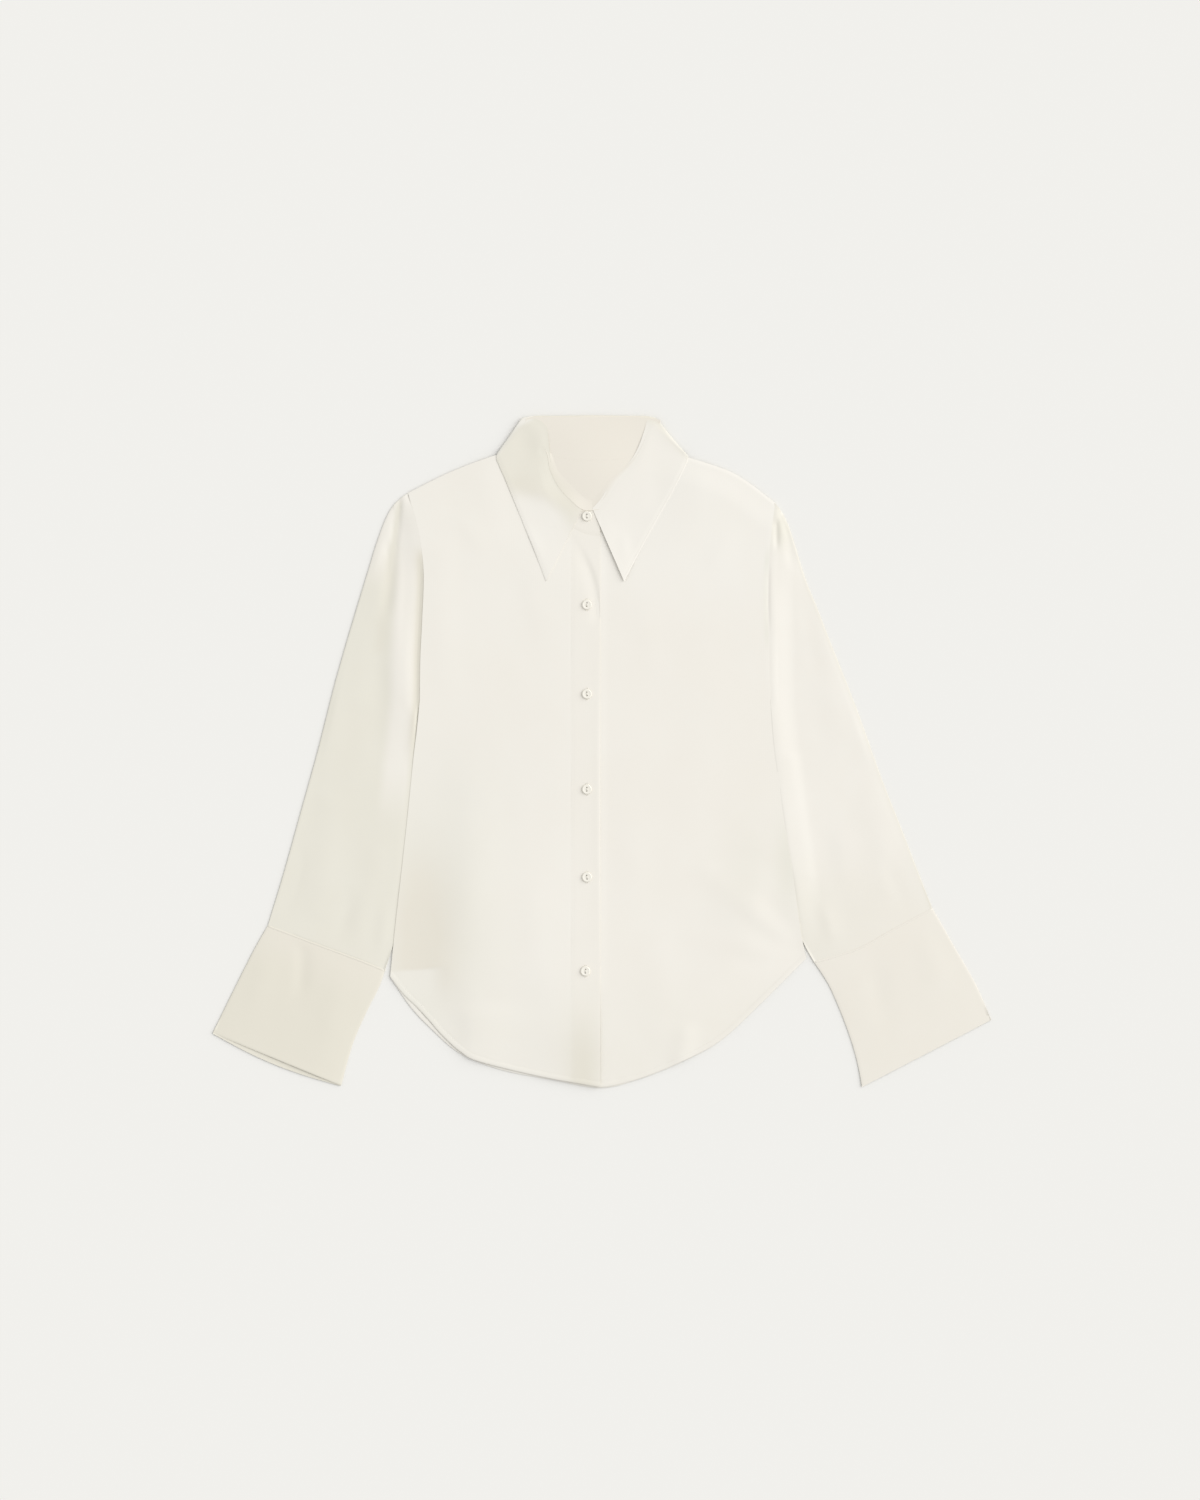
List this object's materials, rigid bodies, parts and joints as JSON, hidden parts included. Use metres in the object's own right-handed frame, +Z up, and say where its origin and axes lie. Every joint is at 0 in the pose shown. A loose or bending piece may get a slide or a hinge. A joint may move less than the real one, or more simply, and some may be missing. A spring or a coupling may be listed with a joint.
{
  "type": "silk blouse",
  "caption": "Long-sleeved silk blouse laid flat on its back, with a pointed collar, a buttoned front, deep cuffs and a curved shirt-tail hem.",
  "frame": {"origin": "centre of the laid-out blouse's bounding box, at the surface it lies on", "axes": "+X across the blouse towards the wearer's left sleeve, +Y from hem to collar, +Z up out of the front"},
  "size_m": [0.825, 0.713, 0.013],
  "materials": {
    "silk": "ivory crepe silk with a soft sheen",
    "pearl": "polished cream mother-of-pearl look"
  },
  "bodies": {
    "root": {"back": "silk", "front_right": "silk", "front_left": "silk", "collar_stand": "silk", "collar": "silk", "sleeve_right": "silk", "sleeve_left": "silk", "cuff_right": "silk", "cuff_left": "silk", "button_1": "pearl", "button_2": "pearl", "button_3": "pearl", "button_4": "pearl", "button_5": "pearl", "button_6": "pearl"}
  },
  "joints": []
}
